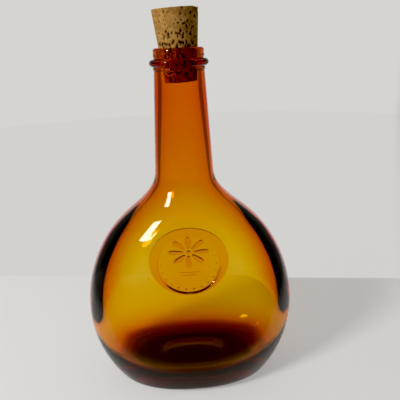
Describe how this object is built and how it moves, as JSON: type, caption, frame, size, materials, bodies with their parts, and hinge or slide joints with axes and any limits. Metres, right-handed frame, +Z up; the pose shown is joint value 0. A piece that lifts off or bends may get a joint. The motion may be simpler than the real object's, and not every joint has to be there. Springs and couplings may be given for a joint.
{
  "type": "antique glass bottle",
  "caption": "Amber glass flask bottle with a flattened round belly, long neck, string ring, oval flower seal on the front and a lift-out cork.",
  "frame": {"origin": "centre of the base, on the plane that the bottle stands on", "axes": "+Z up along the neck, X across the wide belly, -Y towards the front with the seal"},
  "size_m": [0.1308, 0.0781, 0.228],
  "materials": {
    "amber_glass": "smooth blown glass, amber, glossy",
    "ring_glass": "fire-polished amber glass, glossy",
    "seal_glass": "pressed amber glass, soft relief",
    "cork": "natural cork, matt, pitted"
  },
  "bodies": {
    "bottle": {"glass_body": "amber_glass", "neck_ring": "ring_glass", "seal_medallion": "seal_glass"},
    "cork": {"cork_stopper": "cork"}
  },
  "joints": [
    {"name": "cork_lift", "type": "slide", "parent": "bottle", "child": "cork", "axis": [0, 0, 1], "range_m": [0, 0.06]}
  ]
}
